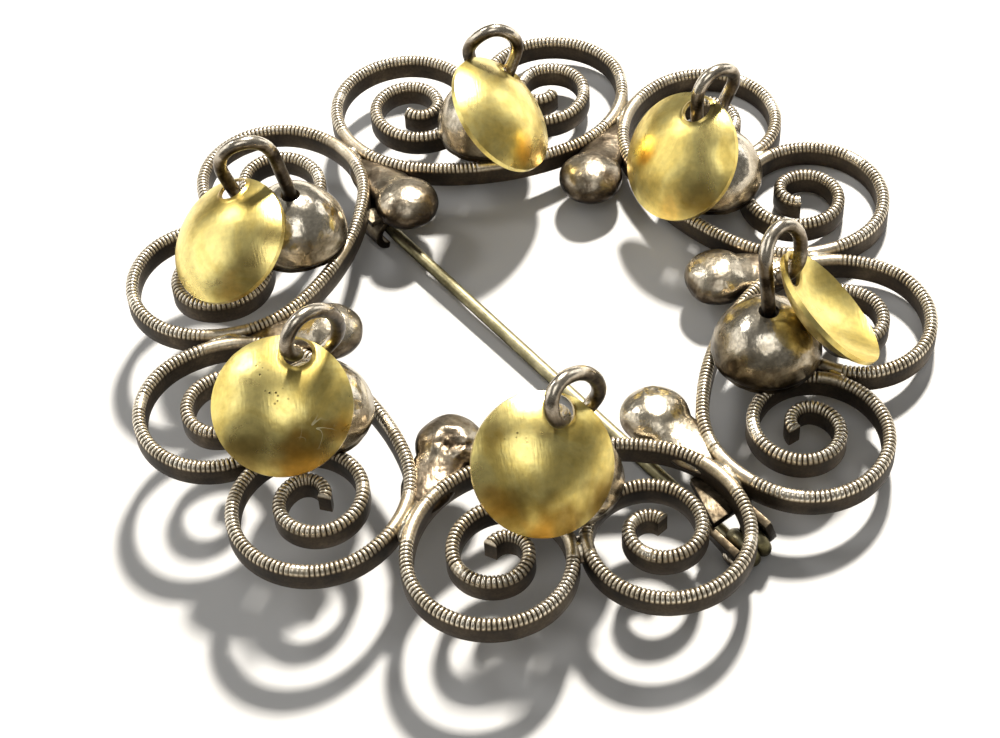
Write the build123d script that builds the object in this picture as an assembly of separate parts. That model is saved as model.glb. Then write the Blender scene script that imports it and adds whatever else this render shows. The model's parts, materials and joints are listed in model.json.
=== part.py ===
from build123d import *
from collections import namedtuple
from copy import copy
from math import asin, cos, degrees, radians, sin, sqrt, tan
import os

os.makedirs("parts", exist_ok=True)

# Wreath brooch, in mm. It is drawn level, ring centre on Z and lowest metal at
# height 0, and laid down on its rim at the end. East is +X and north is +Y.

# Ring of scroll pairs
pair_count = 6
first_pair_deg = 95.8  # heading of the first pair, the others follow clockwise
base_radius = 11.0  # ring centre to the middle of a pair's inner wall
scroll_reach = 21.9  # ring centre to the scrolls' outer face
wall = 0.70
wall_height = 1.4  # with its half-round top
seam_gap = 0.06  # between walls that are soldered side by side
bow_radius = 14.5  # the gentle bow at a pair's inner side
shoulder_share = 1.064  # shoulder's radius, as a share of the one beside the middle line
steepest_bow_deg = 55.0
bow_turn_error = 1e-9  # degrees, where the halving stops
seam_length = 0.9
seam_height = 0.95
# The curl inside a scroll, inward to its tip: each arc's radius, as a share of
# the scroll's radius beside the pair's middle line, and its turn
Arc = namedtuple("Arc", "radius_share turn_deg")
curl = [
    Arc(0.81, 90),
    Arc(0.67, 90),
    Arc(0.51, 90),
    Arc(0.43, 90),
    Arc(0.26, 90),
    Arc(0.24, 55),
]

# Domes, one on each pair
dome_radius = 2.95
dome_wall = 0.35
dome_out = 13.8  # ring centre to the dome's middle
dome_hole_radius = 0.55
collar_height = 0.35  # collar of solder that lifts the rim off the walls
collar_inset = 0.15  # from the dome's outer face
collar_sink = 0.10

# Grains between the pairs, each on a neck of solder
grain_radius = 1.85
grain_half_height = 1.2  # the ball has slumped
grain_edge_radius = 0.85  # of its round side, seen level
grain_out = 10.85
grain_drop = 0.85  # grain's middle below the wall tops
neck_root_half_width = 1.0  # inside the grain
neck_half_width = 1.45
neck_tip_half_width = 0.45
neck_wide_out = 13.0
neck_tip_out = 15.6
neck_top_drop = 0.35  # neck's top below the wall tops
neck_foot = 0.15  # neck's underside above the wall feet

# Pin, with a coil of two turns round a rivet, under the ring
pin_heading_deg = -55.1  # from the catch to the hinge
pin_offset = -1.05  # stem's line from the ring centre, left of its heading
hinge_out = 19.2
wire_radius = 0.40
rivet_radius = 0.30
running_gap = 0.05
turn_overlap = 0.04  # of the two turns where they are pressed together
hinge_tilt_deg = 18.0  # so that the stem leaves the catch by its open side
stem_tip_radius = 0.07
stem_root_radius = 0.39  # a little under the wire's, so the stem starts inside its turn
stem_end_radius = 0.36
point_length = 3.2
tip_past_catch = 0.9
coil_top_gap = 0.10

# Hinge bracket
ear = 0.45
ear_radius = 0.75
ear_back = 1.9  # from the rivet back over the tongue
ear_gap = 0.08
rivet_head = 0.25
rivet_head_radius = 0.52
rivet_gap = 0.03
tongue = 0.45
tongue_tip_half_width = 0.30
tongue_tip_out = 15.0
solder_bite = 0.10  # how far the fittings run into the walls' feet

# Catch
catch_out = 12.1
catch_length = 1.8
catch_inner = 0.62
catch_wall = 0.43
catch_aside = 0.15  # catch's middle beside the stem, away from its open side
catch_lip_deg = 258.0  # where the lip ends, 270 being straight under
catch_plate = 0.40
catch_plate_width = 2.3
catch_plate_aside = 0.1  # plate's middle beside the catch's

# Gilt discs
disc_diameter = 7.25
disc_bulge = 1.30
disc_sheet = 0.28
disc_hole_radius = 0.75
disc_hole_margin = 0.87  # hole's middle in from the disc's edge

# Hanger wires: hook up out of the dome, over, and in through the disc's hole
hanger_radius = 0.375
hanger_rise = 0.35  # straight stretch above the dome
hanger_foot_depth = 1.25
hanger_foot_length = 0.80
hanger_entry = 0.85
hanger_exit = 0.80
hanger_foot_bend = 0.5
hanger_rise_bend = 0.8
hanger_hook_bend = 1.6
hanger_entry_bend = 1.0
# One drop on each dome, clockwise from the first pair. Places are east, north and
# up from the dome's top, as shares of the disc's diameter: the disc's hole and the
# corners of the hook. face is the heading of the disc's rounded side, its tilt from
# level and the turn of the hole from the upper edge. entry points back along the
# wire's way in.
Drop = namedtuple("Drop", "hole face entry hook")
drops = [
    Drop(
        (0.200, -0.019, 0.159),
        (-12, 46, 77),
        (0.35, 0.0, 0.95),
        [(-0.149, 0.122, 0.251), (0.050, -0.102, 0.682), (0.297, -0.054, 0.546)],
    ),
    Drop(
        (-0.131, -0.041, 0.324),
        (-145, 48, -6),
        (0.0, 0.1, 1.0),
        [(0.104, 0.073, 0.322), (0.214, 0.108, 0.563), (-0.023, 0.036, 0.660)],
    ),
    Drop(
        (0.172, 0.214, 0.138),
        (-171, 133, -60),
        (0.55, -0.25, 0.8),
        [(-0.064, 0.071, 0.662), (0.238, 0.317, 0.602)],
    ),
    Drop(
        (-0.028, -0.014, 0.345),
        (-71, 45, 32),
        (-0.15, -0.5, 0.85),
        [(0.311, 0.297, 0.258), (0.166, -0.137, 0.843), (-0.068, -0.163, 0.791), (-0.101, -0.141, 0.557)],
    ),
    Drop(
        (-0.083, -0.007, 0.241),
        (-88, 35, 22),
        (-0.35, -0.35, 0.85),
        [(0.142, 0.226, 0.120), (0.288, 0.076, 0.451), (0.075, -0.072, 0.763), (-0.153, -0.191, 0.593)],
    ),
    Drop(
        (-0.407, -0.124, 0.207),
        (-147, 35, -34),
        (-0.2, -0.25, 0.95),
        [(-0.097, -0.021, 0.503), (-0.228, -0.062, 0.628), (-0.490, -0.172, 0.600)],
    ),
]

# Worked-out places
half_pitch = 180.0 / pair_count
coil_mean_radius = rivet_radius + running_gap + wire_radius
turn_pitch = 2 * wire_radius - turn_overlap
tilt = radians(hinge_tilt_deg)
coil_reach = coil_mean_radius * cos(tilt) + wire_radius + turn_pitch / 2 * sin(tilt)
wall_foot = 2 * coil_reach + coil_top_gap
wall_top = wall_foot + wall_height
coil_side = pin_offset + turn_pitch / 2 * cos(tilt)
catch_outer = catch_inner + catch_wall
catch_side = pin_offset - catch_aside
disc_sphere = ((disc_diameter / 2) ** 2 + disc_bulge**2) / (2 * disc_bulge)
disc_hole_out = disc_diameter / 2 - disc_hole_margin
disc_hole_lift = sqrt(disc_sphere**2 - disc_hole_out**2) - (disc_sphere - disc_bulge)

pin_frame = Plane(
    origin=(0, 0, 0),
    x_dir=(cos(radians(pin_heading_deg)), sin(radians(pin_heading_deg)), 0),
    z_dir=(0, 0, 1),
)


def heading(deg):
    return Vector(cos(radians(deg)), sin(radians(deg)), 0)


def left_of(deg):
    return Vector(-sin(radians(deg)), cos(radians(deg)), 0)


def pair_deg(index):
    return first_pair_deg - 2 * half_pitch * index


def follow(start, start_deg, arcs):
    """Edges of left-turning arcs, each tangent to the one before, and their centres."""
    edges = []
    centres = []
    point = start
    deg = start_deg
    for radius, turn in arcs:
        centre = point + left_of(deg) * radius
        middle = centre - left_of(deg + turn / 2) * radius
        end = centre - left_of(deg + turn) * radius
        edges.append(ThreePointArc(point, middle, end))
        centres.append(centre)
        point = end
        deg += turn
    return edges, centres


def loop_radii(bow_turn):
    """Flank, shoulder and inner radius that touch the next pair, the rim and the twin."""
    side = (wall + seam_gap) / 2
    bow_end = Vector(0, base_radius, 0) + Vector(
        sin(radians(bow_turn)), 1 - cos(radians(bow_turn)), 0
    ) * bow_radius
    across = Vector(cos(radians(half_pitch)), -sin(radians(half_pitch)), 0)
    flank = (-side - bow_end.dot(across)) / (1 + left_of(bow_turn).dot(across))
    widest = bow_end + left_of(bow_turn) * flank + Vector(flank, 0, 0)
    shoulder = scroll_reach - wall / 2 - widest.Y
    return flank, shoulder, widest.X - shoulder - side


def bow_turn_deg():
    """The bow's turn that gives the shoulder its share, found by halving."""
    low = 0.0
    high = steepest_bow_deg
    while high - low > bow_turn_error:
        turn = (low + high) / 2
        _, shoulder, inner = loop_radii(turn)
        if shoulder > shoulder_share * inner:
            high = turn
        else:
            low = turn
    return low


def scroll_arcs():
    """Radius and turn of a scroll's arcs, from the bow to the tip of the curl."""
    turn = bow_turn_deg()
    flank, shoulder, inner = loop_radii(turn)
    arcs = [(bow_radius, turn), (flank, 90 - turn), (shoulder, 90), (inner, 90)]
    arcs += [(arc.radius_share * inner, arc.turn_deg) for arc in curl]
    return arcs


def scroll_pair():
    """Two mirrored scrolls of one continuous wall, with its middle seam, heading +Y."""
    arcs = scroll_arcs()
    edges, centres = follow(Vector(0, base_radius, 0), 0, arcs)
    bead = wall / 2
    section = Plane(origin=(0, base_radius, wall_foot), x_dir=(0, 1, 0), z_dir=(1, 0, 0)) * (
        Pos(0, (wall_height - bead) / 2) * Rectangle(wall, wall_height - bead)
        + Pos(0, wall_height - bead) * Circle(bead)
    )
    level = [edge.moved(Location((0, 0, wall_foot))) for edge in edges]
    half = sweep(section, path=Wire(level))
    seam = Pos(0, centres[3].Y, wall_foot + seam_height / 2) * Box(
        wall + seam_gap, seam_length, seam_height
    )
    return half + mirror(half, about=Plane.YZ) + seam


def flank_touch():
    """Ring centre to where neighbouring pairs touch."""
    _, centres = follow(Vector(0, base_radius, 0), 0, scroll_arcs())
    return centres[1].dot(Vector(sin(radians(half_pitch)), cos(radians(half_pitch)), 0))


def dome():
    """Hollow half ball with a hole on top, on a collar of solder, heading +Y."""
    shell = Sphere(dome_radius) - Sphere(dome_radius - dome_wall)
    shell -= Pos(0, 0, -dome_radius) * Box(4 * dome_radius, 4 * dome_radius, 2 * dome_radius)
    shell -= Pos(0, 0, dome_radius) * Cylinder(dome_hole_radius, dome_radius)
    foot = collar_height + collar_sink
    overlap = collar_inset / 2
    collar = Cylinder(dome_radius - collar_inset, foot + overlap)
    collar -= Cylinder(dome_radius - dome_wall + collar_inset / 4, 2 * (foot + overlap))
    return Pos(0, dome_out, wall_top + collar_height) * (
        shell + Pos(0, 0, (overlap - foot) / 2) * collar
    )


def slumped_ball():
    """Ball flatter than it is wide: a large arc above and below a small one at the side."""
    edge = Vector(grain_radius - grain_edge_radius, 0)
    rise = grain_half_height - grain_edge_radius
    below = (edge.X**2 - rise**2) / (2 * rise)
    cap_radius = grain_half_height + below
    middle = Vector(0, -below)
    joint = middle + (edge - middle).normalized() * cap_radius
    between = (joint - middle).normalized() + Vector(0, 1)
    on_cap = middle + between.normalized() * cap_radius
    upper = ThreePointArc((0, grain_half_height), on_cap, joint)
    side = ThreePointArc(joint, (grain_radius, 0), (joint.X, -joint.Y))
    lower = ThreePointArc((joint.X, -joint.Y), (on_cap.X, -on_cap.Y), (0, -grain_half_height))
    axis = Line((0, -grain_half_height), (0, grain_half_height))
    return revolve(Plane.XZ * make_face([upper, side, lower, axis]), axis=Axis.Z)


def grain_and_neck():
    """Solder grain, the neck that carries it and the seam between two pairs, heading +Y."""
    middle = wall_top - grain_drop
    grain = Pos(0, grain_out, middle) * slumped_ball()
    low = wall_foot + neck_foot
    outline = Polyline(
        (-neck_root_half_width, grain_out),
        (neck_root_half_width, grain_out),
        (neck_half_width, neck_wide_out),
        (neck_tip_half_width, neck_tip_out),
        (-neck_tip_half_width, neck_tip_out),
        (-neck_half_width, neck_wide_out),
        close=True,
    )
    neck = extrude(Pos(0, 0, low) * make_face(outline), wall_top - neck_top_drop - low)
    seam = Pos(0, flank_touch(), wall_foot + seam_height / 2) * Box(
        wall + seam_gap, seam_length, seam_height
    )
    return grain + neck + seam


def hinge_frame():
    """Rivet's axis along Z of this frame, the stem's way along -X."""
    centre = pin_frame.from_local_coords(Vector(hinge_out, coil_side, coil_reach))
    x_dir = pin_frame.x_dir
    z_dir = pin_frame.y_dir * cos(tilt) + Vector(0, 0, 1) * sin(tilt)
    return Plane(origin=centre, x_dir=x_dir, z_dir=z_dir)


def ears():
    """Two ears beside the coil, bored for the rivet, that run back along the tongue."""
    frame = hinge_frame()
    up = -coil_down()
    inside = turn_pitch / 2 + wire_radius + ear_gap
    reach = wall_foot - coil_reach + ear_radius
    side = Polyline(
        (ear_radius, 0),
        (ear_radius, up * reach),
        (-ear_back, up * reach),
        (-ear_back, up * (reach - ear_radius - tongue)),
        (-ear_radius, 0),
        close=True,
    )
    plate = extrude(Circle(ear_radius), ear) + extrude(make_face(side), ear)
    plate -= Cylinder(rivet_radius + rivet_gap, 4 * ear)
    pair = frame * (Pos(0, 0, inside) * plate) + frame * (Pos(0, 0, -inside - ear) * plate)
    return pair


def bracket():
    """Tongue soldered under two scrolls, with the ears at its wide end."""
    half = turn_pitch / 2 + wire_radius + ear_gap + ear
    top = wall_foot + solder_bite
    back = hinge_out - coil_mean_radius - wire_radius - ear_gap
    outline = Polyline(
        (tongue_tip_out, coil_side - tongue_tip_half_width),
        (back, coil_side - half),
        (back, coil_side + half),
        (tongue_tip_out, coil_side + tongue_tip_half_width),
        close=True,
    )
    plate = extrude(
        pin_frame * (Pos(0, 0, top - tongue) * make_face(outline)), tongue, dir=(0, 0, 1)
    )
    below = pin_frame * (Pos(hinge_out, coil_side, top / 2) * Box(4 * ear_back, 4 * half, top))
    return plate + (ears() & below)


def catch():
    """C-shaped catch of bent strip, open to the left of the pin's heading and below."""
    face = Plane(
        origin=pin_frame.from_local_coords(
            Vector(-catch_out - catch_length / 2, catch_side, catch_outer)
        ),
        x_dir=pin_frame.y_dir,
        z_dir=pin_frame.x_dir,
    )
    ring = Circle(catch_outer) - Circle(catch_inner)
    top_deg = 90
    steps = 4
    far = 4 * catch_outer
    turns = [radians(top_deg + n * (catch_lip_deg - top_deg) / steps) for n in range(steps + 1)]
    rim = [(far * cos(turn), far * sin(turn)) for turn in turns]
    sector = make_face(Polyline((0, 0), *rim, close=True))
    hook = extrude(face * (ring & sector), catch_length)
    top = wall_foot + solder_bite
    plate = pin_frame * (
        Pos(-catch_out, catch_side - catch_plate_aside, top - catch_plate / 2)
        * Box(catch_length, catch_plate_width, catch_plate)
    )
    post_low = 2 * catch_outer - catch_wall
    post = pin_frame * (
        Pos(-catch_out, catch_side - catch_wall / 2, (post_low + top) / 2)
        * Box(catch_length, catch_wall, top - post_low)
    )
    return hook + plate + post


def wreath():
    """All that is soldered: scrolls, domes, grains, hinge bracket and catch."""
    pair = scroll_pair() + dome()
    grain = grain_and_neck()
    parts = []
    for index in range(pair_count):
        parts.append(Rot(0, 0, pair_deg(index) - 90) * pair)
        parts.append(Rot(0, 0, pair_deg(index) - half_pitch - 90) * grain)
    parts += [bracket(), catch()]
    return sum(parts[1:], parts[0])


def hinge_rivet():
    half = turn_pitch / 2 + wire_radius + ear_gap + ear + rivet_gap
    shaft = Cylinder(rivet_radius, 2 * half + rivet_head)
    heads = [
        Pos(0, 0, side * (half + rivet_head / 2)) * Cylinder(rivet_head_radius, rivet_head)
        for side in (-1, 1)
    ]
    return hinge_frame() * (shaft + heads[0] + heads[1])


def stem_ends():
    """Where the stem leaves the coil, and where it lies in the catch."""
    start = hinge_frame().from_local_coords(
        Vector(0, coil_mean_radius * coil_down(), -turn_pitch / 2)
    )
    return start, pin_frame.from_local_coords(Vector(-catch_out, pin_offset, catch_outer))


def pin_stem():
    """Coil of two turns, and the stem from under it through the catch."""
    frame = hinge_frame()
    turns = [
        frame * (Pos(0, 0, side * turn_pitch / 2) * Torus(coil_mean_radius, wire_radius))
        for side in (-1, 1)
    ]
    start, at_catch = stem_ends()
    way = (at_catch - start).normalized()
    length = (at_catch - start).length + catch_length / 2 + tip_past_catch
    shank = length - point_length
    along = Plane(origin=start, x_dir=pin_frame.y_dir, z_dir=way)
    stem = along * (
        Pos(0, 0, shank / 2) * Cone(stem_root_radius, stem_end_radius, shank)
        + Pos(0, 0, shank + point_length / 2) * Cone(stem_end_radius, stem_tip_radius, point_length)
    )
    return turns[0] + turns[1] + stem


def coil_down():
    """Sign of the hinge frame's Y that points down."""
    return -1 if hinge_frame().y_dir.Z > 0 else 1


def disc_frame(index):
    """Disc's place: origin at its rim's middle, Z its rounded side, X towards the hole."""
    hole, face, _, _ = drops[index]
    toward, lean, clock = face
    out = heading(toward)
    normal = out * sin(radians(lean)) + Vector(0, 0, 1) * cos(radians(lean))
    level = left_of(toward)
    upslope = normal.cross(level)
    to_hole = upslope * cos(radians(clock)) + level * sin(radians(clock))
    hole_at = dome_top(index) + Vector(*hole) * disc_diameter
    middle = hole_at - to_hole * disc_hole_out - normal * disc_hole_lift
    return Plane(origin=middle, x_dir=to_hole, z_dir=normal), hole_at


def dome_top(index):
    return heading(pair_deg(index)) * dome_out + Vector(0, 0, wall_top + collar_height + dome_radius)


def gilt_disc(index):
    frame, _ = disc_frame(index)
    ball = Pos(0, 0, disc_bulge - disc_sphere)
    sheet = ball * Sphere(disc_sphere) - ball * Sphere(disc_sphere - disc_sheet)
    sheet &= Pos(0, 0, disc_bulge) * Cylinder(disc_diameter / 2, 4 * disc_bulge)
    lean = degrees(asin(disc_hole_out / disc_sphere))
    sheet -= Pos(disc_hole_out, 0, disc_hole_lift) * Rot(0, lean, 0) * Cylinder(
        disc_hole_radius, 4 * disc_bulge
    )
    return frame * sheet


def bend_radii(points, wanted):
    """Wanted bend radii, none larger than its two straight runs allow."""
    radii = []
    for before, at, after, radius in zip(points, points[1:], points[2:], wanted):
        turn = radians(180 - (before - at).get_angle(after - at))
        run = min((before - at).length, (after - at).length)
        radii.append(min(radius, 0.48 * run / tan(turn / 2)))
    return radii


def hanger_wire(index):
    _, _, entry, hook = drops[index]
    top = dome_top(index)
    _, hole_at = disc_frame(index)
    way_in = Vector(*entry).normalized()
    foot = top - Vector(0, 0, hanger_foot_depth)
    points = [
        foot + heading(pair_deg(index)) * hanger_foot_length,
        foot,
        top + Vector(0, 0, hanger_rise),
        *[top + Vector(*corner) * disc_diameter for corner in hook],
        hole_at + way_in * hanger_entry,
        hole_at - way_in * hanger_exit,
    ]
    wanted = [hanger_foot_bend, hanger_rise_bend]
    wanted += [hanger_hook_bend] * len(hook) + [hanger_entry_bend]
    route = FilletPolyline(*points, radius=bend_radii(points, wanted))
    start = Plane(origin=points[0], z_dir=points[1] - points[0])
    return sweep(start * Circle(hanger_radius), path=route)


def resting_points():
    """Undersides of the coil, the catch and the scroll furthest from them."""
    coil_foot = pin_frame.from_local_coords(
        Vector(hinge_out, coil_side - turn_pitch / 2 * cos(tilt) + coil_mean_radius * sin(tilt), 0)
    )
    lip = radians(catch_lip_deg)
    catch_foot = pin_frame.from_local_coords(
        Vector(-catch_out, catch_side + catch_outer * cos(lip), catch_outer * (1 + sin(lip)))
    )
    arcs = scroll_arcs()
    _, centres = follow(Vector(0, base_radius, 0), 0, arcs)
    across = pin_frame.y_dir
    rims = []
    for index in range(pair_count):
        for side in (-1, 1):
            middle = heading(pair_deg(index)) * centres[2].Y - left_of(pair_deg(index)) * (
                side * centres[2].X
            )
            rims.append(middle + across * (arcs[2][0] + wall / 2) + Vector(0, 0, wall_foot))
    return coil_foot, catch_foot, max(rims, key=lambda point: point.dot(across))


def lay_down(nodes):
    """All nodes turned so that the resting points are level, then stood on the ground."""
    coil_foot, catch_foot, rim_foot = resting_points()
    normal = (coil_foot - catch_foot).cross(rim_foot - catch_foot).normalized()
    if normal.Z < 0:
        normal = -normal
    up = Vector(0, 0, 1)
    axis = Axis((0, 0, 0), normal.cross(up))
    turn = normal.get_angle(up)
    turned = {name: node.rotate(axis, turn) for name, node in nodes.items()}
    box = Compound(children=[copy(node) for node in turned.values()]).bounding_box()
    shift = Vector(-(box.min.X + box.max.X) / 2, -(box.min.Y + box.max.Y) / 2, -box.min.Z)
    print("lean", round(turn, 3), "about", axis.direction, "shift", shift)
    hinge = hinge_frame()
    spots = {"hinge": hinge.origin, "stem from": stem_ends()[0], "stem to": stem_ends()[1]}
    for name, spot in spots.items():
        print(name, spot.rotate(axis, turn) + shift)
    print("hinge axis", -hinge.z_dir.rotate(axis, turn))
    return {name: node.moved(Location(shift)) for name, node in turned.items()}


level_nodes = {"wreath": wreath(), "hinge_rivet": hinge_rivet(), "pin_stem": pin_stem()}
for index in range(pair_count):
    level_nodes[f"hanger_wire_{index + 1}"] = hanger_wire(index)
    level_nodes[f"gilt_disc_{index + 1}"] = gilt_disc(index)

for name, node in lay_down(level_nodes).items():
    export_step(node, f"parts/{name}.step")
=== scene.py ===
import json
from math import asin, ceil, cos, degrees, hypot, pi, radians, sin, sqrt

import bmesh
import bpy
from mathutils import Matrix, Vector, noise


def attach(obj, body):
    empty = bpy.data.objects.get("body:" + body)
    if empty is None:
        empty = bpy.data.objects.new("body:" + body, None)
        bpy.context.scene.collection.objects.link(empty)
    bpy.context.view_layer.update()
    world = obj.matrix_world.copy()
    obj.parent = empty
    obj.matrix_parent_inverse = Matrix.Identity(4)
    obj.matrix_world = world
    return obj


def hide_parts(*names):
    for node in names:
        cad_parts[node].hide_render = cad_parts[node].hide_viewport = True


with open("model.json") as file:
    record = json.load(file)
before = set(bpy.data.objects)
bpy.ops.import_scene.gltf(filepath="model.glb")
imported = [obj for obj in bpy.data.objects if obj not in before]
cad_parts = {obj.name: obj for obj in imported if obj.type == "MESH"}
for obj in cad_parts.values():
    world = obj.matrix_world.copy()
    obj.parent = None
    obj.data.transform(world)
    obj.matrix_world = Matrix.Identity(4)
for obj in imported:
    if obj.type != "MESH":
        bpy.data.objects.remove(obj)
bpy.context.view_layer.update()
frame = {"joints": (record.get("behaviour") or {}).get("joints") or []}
mm = 0.001
upward = Vector((0, 0, 1))
unturned = Matrix.Identity(4)

# Lengths are in mm. The ring is modelled level, its centre on Z, then laid down as it rests.
ring = dict(
    pairs=6,
    firstPairDeg=95.8,
    foot=2.5614,       # underside of the strips
    top=3.9614,        # their top edge
    leanDeg=6.309,
    leanAxis=(-0.593112, 0.80512, 0),
)

pin = dict(
    headingDeg=-55.1,  # from the catch to the hinge
    offset=-1.05,      # stem's line, left of its heading
    hingeOut=19.2,
    wire=0.40,
    coilRadius=0.75,
    coilPitch=0.76,
    coilHeight=1.2307,
    tiltDeg=18.0,
    coilTurns=1.6,
    coilStations=48,   # for each turn
    catchHeight=1.05,  # stem's middle in the catch
    tipPast=1.8,
    # distance back from the tip, radius
    taper=((0, 0.07), (0.4, 0.11), (1.2, 0.19), (2.2, 0.29), (3.2, 0.355), (14.0, 0.365)),
    rootTaper=(1.0, 0.385),
)


def heading(deg):
    return Vector((cos(radians(deg)), sin(radians(deg)), 0))


def leftOf(deg):
    return Vector((-sin(radians(deg)), cos(radians(deg)), 0))


def pairDeg(index):
    return ring["firstPairDeg"] - 360 / ring["pairs"] * index


def facing(deg, spot=(0, 0, 0)):
    # a piece drawn along +Y, turned to a heading of the ring
    return Matrix.Rotation(radians(deg - 90), 4, "Z") @ Matrix.Translation(spot)


def frameOf(xAxis, yAxis, zAxis):
    return Matrix([xAxis, yAxis, zAxis]).transposed().to_4x4()


pinAlong = heading(pin["headingDeg"])
pinLeft = leftOf(pin["headingDeg"])
coilSide = pin["offset"] + pin["coilPitch"] / 2 * cos(radians(pin["tiltDeg"]))
hingeLevel = pinAlong * pin["hingeOut"] + pinLeft * coilSide + upward * pin["coilHeight"]
lean = Matrix.Rotation(radians(ring["leanDeg"]), 4, Vector(ring["leanAxis"]))
hingeAtRest = Vector(frame["joints"][0]["pos_m"]) / mm
layDown = Matrix.Scale(mm, 4) @ Matrix.Translation(hingeAtRest - lean @ hingeLevel) @ lean


def linear(hexColour):
    # sRGB hex to linear RGBA
    parts = [int(hexColour[i:i + 2], 16) / 255 for i in (1, 3, 5)]
    return [c / 12.92 if c <= 0.04045 else ((c + 0.055) / 1.055) ** 2.4 for c in parts] + [1.0]


def addNode(tree, kind, inputs=None, **settings):
    # a linked input is given as (node, output)
    node = tree.nodes.new(kind)
    for name, value in settings.items():
        setattr(node, name, value)
    for name, value in (inputs or {}).items():
        socket = node.inputs[name]
        if isinstance(value, tuple) and isinstance(value[0], bpy.types.Node):
            tree.links.new(value[0].outputs[value[1]], socket)
        else:
            socket.default_value = value
    return node


def newMaterial(name):
    material = bpy.data.materials.new(name)
    material.use_nodes = True
    material.node_tree.nodes.clear()
    return material, material.node_tree


def perMm(size):
    # noise scale for a pattern of this size, on Object coordinates in metres
    return 1 / (size * mm)


def finishShader(tree, inputs, bump=None):
    shader = addNode(tree, "ShaderNodeBsdfPrincipled", inputs)
    if bump:
        tree.links.new(bump.outputs["Normal"], shader.inputs["Normal"])
    output = addNode(tree, "ShaderNodeOutputMaterial")
    tree.links.new(shader.outputs["BSDF"], output.inputs["Surface"])


def rampNode(tree, factor, stops):
    node = addNode(tree, "ShaderNodeValToRGB", {"Fac": factor})
    ramp = node.color_ramp
    while len(ramp.elements) < len(stops):
        ramp.elements.new(0.5)
    for element, (place, colour) in zip(ramp.elements, stops):
        element.position = place
        element.color = linear(colour)
    return node


def noiseNode(tree, place, size, detail, **inputs):
    # cloudy pattern whose patches are about this many mm across
    given = {"Vector": (place, "Object"), "Scale": perMm(size), "Detail": detail}
    return addNode(tree, "ShaderNodeTexNoise", {**given, **inputs})


def spreadNode(tree, value, low, high, toLow, toHigh):
    given = {"Value": value, "From Min": low, "From Max": high, "To Min": toLow, "To Max": toHigh}
    return addNode(tree, "ShaderNodeMapRange", given)


def mathNode(tree, operation, first, second, clamp=False):
    return addNode(tree, "ShaderNodeMath", {0: first, 1: second}, operation=operation, use_clamp=clamp)


def tintNode(tree, colour, by):
    # darkens or lightens a colour by a grey value near 1
    given = {"Factor": 1.0, "A": colour, "B": by}
    return addNode(tree, "ShaderNodeMix", given, data_type="RGBA", blend_type="MULTIPLY")


def hairNode(tree, place, squash, width):
    # fine hairs of this width in mm, drawn out along X
    drawn = addNode(tree, "ShaderNodeMapping", {"Vector": (place, "Object"), "Scale": squash})
    given = {"Vector": (drawn, "Vector"), "Scale": perMm(width), "Detail": 2.0}
    return addNode(tree, "ShaderNodeTexNoise", given)


def bumpNode(tree, height, strength, deep, under=None):
    # relief of this depth in mm, on top of another where one is given
    given = {"Height": height, "Strength": strength, "Distance": deep * mm}
    if under:
        given["Normal"] = (under, "Normal")
    return addNode(tree, "ShaderNodeBump", given)


def blendNode(tree, factor, first, second):
    # colour that goes from the first to the second
    given = {"Factor": factor, "A": first, "B": second}
    return addNode(tree, "ShaderNodeMix", given, data_type="RGBA")


def ribbedSilver():
    # Oxidised silver strip with a milled edge: dark sulphide in the grooves, rubbed bright on the ribs,
    # and the walls painted dark, partly sulphide and partly painted shade. It reads as fine light bars on
    # brown-black.
    material, tree = newMaterial("oxidised milled silver")
    place = addNode(tree, "ShaderNodeTexCoord")
    ridge = addNode(tree, "ShaderNodeAttribute", attribute_name="ridge")
    depth = addNode(tree, "ShaderNodeAttribute", attribute_name="depth")
    cloud = noiseNode(tree, place, 2.2, 4.0)
    grit = noiseNode(tree, place, 0.14, 3.0)
    # the walls below the bead are darkened: sulphide and painted shade
    onWall = spreadNode(tree, (depth, "Fac"), 0.24, 0.44, 0.0, 1.0)
    wallTarnishAndShade = spreadNode(tree, (cloud, "Fac"), 0.34, 0.66, 0.02, 0.24)
    worn = spreadNode(tree, (cloud, "Fac"), 0.34, 0.66, 0.72, 1.2)
    rubbed = mathNode(tree, "MULTIPLY", (ridge, "Fac"), (worn, "Result"), clamp=True)
    bright = addNode(tree, "ShaderNodeMix", {
        "Factor": (onWall, "Result"), "A": (rubbed, "Value"), "B": (wallTarnishAndShade, "Result"),
    })
    tone = rampNode(tree, (bright, "Result"), [
        (0.0, "#1d1711"), (0.2, "#4a3f31"), (0.45, "#93856e"), (0.75, "#d3c7b0"), (1.0, "#f3ead8"),
    ])
    speck = spreadNode(tree, (grit, "Fac"), 0.3, 0.7, 0.72, 1.2)
    colour = tintNode(tree, (tone, "Color"), (speck, "Result"))
    rough = spreadNode(tree, (bright, "Result"), 0.0, 1.0, 0.62, 0.27)
    metal = spreadNode(tree, (bright, "Result"), 0.0, 0.5, 0.6, 1.0)
    bump = bumpNode(tree, (grit, "Fac"), 0.35, 0.02)
    finishShader(tree, {
        "Base Color": (colour, "Result"), "Roughness": (rough, "Result"), "Metallic": (metal, "Result"),
    }, bump)
    return material


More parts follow.
